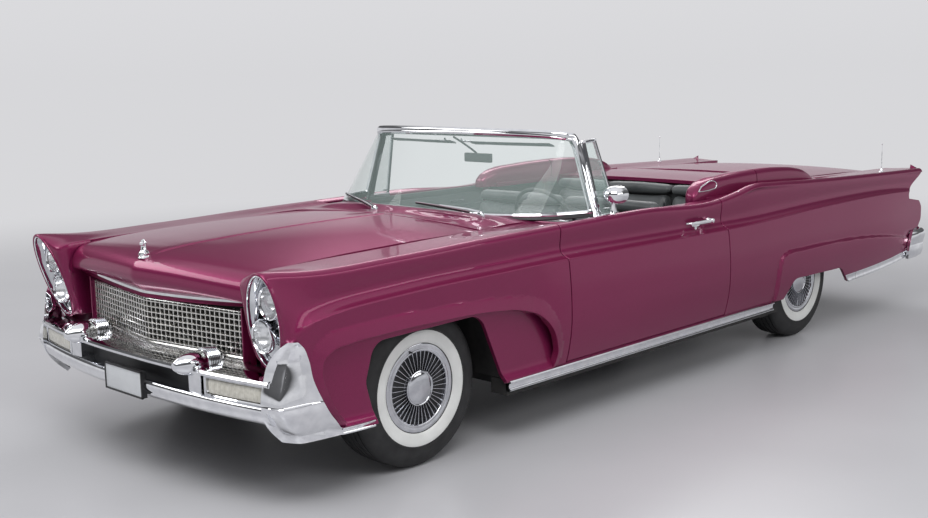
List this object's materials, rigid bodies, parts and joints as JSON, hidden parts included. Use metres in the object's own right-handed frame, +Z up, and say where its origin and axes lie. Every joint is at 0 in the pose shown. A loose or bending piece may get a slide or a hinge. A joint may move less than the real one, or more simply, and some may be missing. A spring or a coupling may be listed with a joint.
{
  "type": "full-size two-door convertible car of the late 1950s",
  "caption": "Full-size late-1950s two-door convertible with the top down, sculpted body sides, canted lamp pods, tail fins, opening doors, hood and lids, steering and rolling wheels.",
  "frame": {"origin": "on the ground at the centre of the bounding box base", "axes": "+Z up, the nose faces -Y, the driver side (left) is +X"},
  "size_m": [2.03, 5.8158, 1.392],
  "materials": {
    "paint": "metallic clearcoat, rose burgundy",
    "structure": "satin black underbody paint",
    "grille_metal": "champagne satin",
    "chrome": "polished",
    "lamp_glass": "clear fluted lens",
    "lamp_red": "red lens",
    "glass": "clear, faint green",
    "cabin_plastic": "dark, semi-gloss",
    "leather": "charcoal, pleated",
    "iron": "painted black",
    "steel": "aluminised",
    "tyre": "black with a wide white wall"
  },
  "bodies": {
    "root": {"front_fender_left": "paint", "front_fender_right": "paint", "rear_quarter_left": "paint", "rear_quarter_right": "paint", "cowl_panel": "paint", "side_fairings": "paint", "underbody": "structure", "front_panel": "structure", "grille": "grille_metal", "tail_panel": "grille_metal", "front_bumper": "chrome", "rear_bumper": "chrome", "windshield_frame": "chrome", "wipers": "chrome", "antennas": "chrome", "headlamps": "lamp_glass", "tail_lamps": "lamp_red", "windshield_glass": "glass", "dashboard": "cabin_plastic", "steering_column": "cabin_plastic", "front_seat": "leather", "rear_seat": "leather", "front_suspension": "iron", "rear_axle": "iron", "engine_block": "iron", "exhaust": "steel"},
    "door_left_body": {"door_left": "paint", "vent_window_left": "chrome", "door_mirror": "chrome"},
    "door_right_body": {"door_right": "paint", "vent_window_right": "chrome"},
    "hood_body": {"hood": "paint"},
    "deck_lid_body": {"deck_lid": "paint"},
    "stowage_lid_body": {"stowage_lid": "paint"},
    "knuckle_left_body": {"knuckle_left": "iron"},
    "knuckle_right_body": {"knuckle_right": "iron"},
    "steering_wheel_body": {"steering_wheel": "cabin_plastic"},
    "wheel_front_left_body": {"wheel_front_left": "chrome", "tyre_front_left": "tyre"},
    "wheel_front_right_body": {"wheel_front_right": "chrome", "tyre_front_right": "tyre"},
    "wheel_rear_left_body": {"wheel_rear_left": "chrome", "tyre_rear_left": "tyre"},
    "wheel_rear_right_body": {"wheel_rear_right": "chrome", "tyre_rear_right": "tyre"}
  },
  "joints": [
    {"name": "door_left_hinge", "type": "hinge", "parent": "root", "child": "door_left_body", "pos_m": [1.0145, -1.087, 0.6], "axis": [0, 0, -1], "range_deg": [0, 65]},
    {"name": "door_right_hinge", "type": "hinge", "parent": "root", "child": "door_right_body", "pos_m": [-1.0145, -1.087, 0.6], "axis": [0, 0, 1], "range_deg": [0, 65]},
    {"name": "hood_hinge", "type": "hinge", "parent": "root", "child": "hood_body", "pos_m": [0, -1.3905, 1.003], "axis": [-1, 0, 0], "range_deg": [0, 48]},
    {"name": "deck_lid_hinge", "type": "hinge", "parent": "root", "child": "deck_lid_body", "pos_m": [0, 1.6215, 1], "axis": [1, 0, 0], "range_deg": [0, 60]},
    {"name": "stowage_lid_hinge", "type": "hinge", "parent": "root", "child": "stowage_lid_body", "pos_m": [0, 1.6005, 1.002], "axis": [-1, 0, 0], "range_deg": [0, 65]},
    {"name": "steer_left", "type": "hinge", "parent": "root", "child": "knuckle_left_body", "pos_m": [0.69, -1.969, 0.356], "axis": [0, 0, 1], "range_deg": [-27, 27]},
    {"name": "steer_right", "type": "hinge", "parent": "root", "child": "knuckle_right_body", "pos_m": [-0.69, -1.969, 0.356], "axis": [0, 0, 1], "range_deg": [-27, 27]},
    {"name": "steering_wheel_turn", "type": "hinge", "parent": "root", "child": "steering_wheel_body", "pos_m": [0.4, -0.545, 0.9], "axis": [0, 0.8829, 0.4695], "range_deg": [-550, 550]},
    {"name": "wheel_front_left_spin", "type": "hinge", "parent": "knuckle_left_body", "child": "wheel_front_left_body", "pos_m": [0.7745, -1.969, 0.356], "axis": [1, 0, 0], "continuous": true},
    {"name": "wheel_front_right_spin", "type": "hinge", "parent": "knuckle_right_body", "child": "wheel_front_right_body", "pos_m": [-0.7745, -1.969, 0.356], "axis": [1, 0, 0], "continuous": true},
    {"name": "wheel_rear_left_spin", "type": "hinge", "parent": "root", "child": "wheel_rear_left_body", "pos_m": [0.7745, 1.358, 0.356], "axis": [1, 0, 0], "continuous": true},
    {"name": "wheel_rear_right_spin", "type": "hinge", "parent": "root", "child": "wheel_rear_right_body", "pos_m": [-0.7745, 1.358, 0.356], "axis": [1, 0, 0], "continuous": true}
  ],
  "couplings": [
    {"joint": "steer_right", "follows": "steer_left", "ratio": 1},
    {"joint": "steering_wheel_turn", "follows": "steer_left", "ratio": 20}
  ]
}
